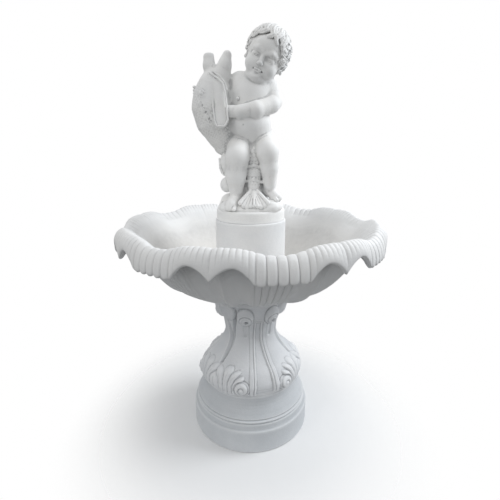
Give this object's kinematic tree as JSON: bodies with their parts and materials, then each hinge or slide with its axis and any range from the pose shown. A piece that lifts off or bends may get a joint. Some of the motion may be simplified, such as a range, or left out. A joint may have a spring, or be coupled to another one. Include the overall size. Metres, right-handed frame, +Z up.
{
  "type": "putto fountain",
  "caption": "Garden fountain: round base, carved pedestal, scalloped basin and a drum that carries a child figure holding an upright fish.",
  "frame": {"origin": "middle of the base's underside, on the ground", "axes": "+Z up along the fountain's axis, -Y towards the front that the child faces, +X to the viewer's right"},
  "size_m": [1.1102, 1.1102, 1.7035],
  "materials": {
    "base_stone": "matt white cast stone",
    "pedestal_stone": "matt white cast stone, grey in the carving",
    "basin_stone": "matt white cast stone, faintly warm inside",
    "drum_stone": "matt white cast stone",
    "figure_stone": "matt white cast stone, grey in the hollows"
  },
  "bodies": {
    "root": {"base": "base_stone", "pedestal": "pedestal_stone", "basin": "basin_stone", "drum": "drum_stone", "putto_with_fish": "figure_stone"}
  },
  "joints": []
}
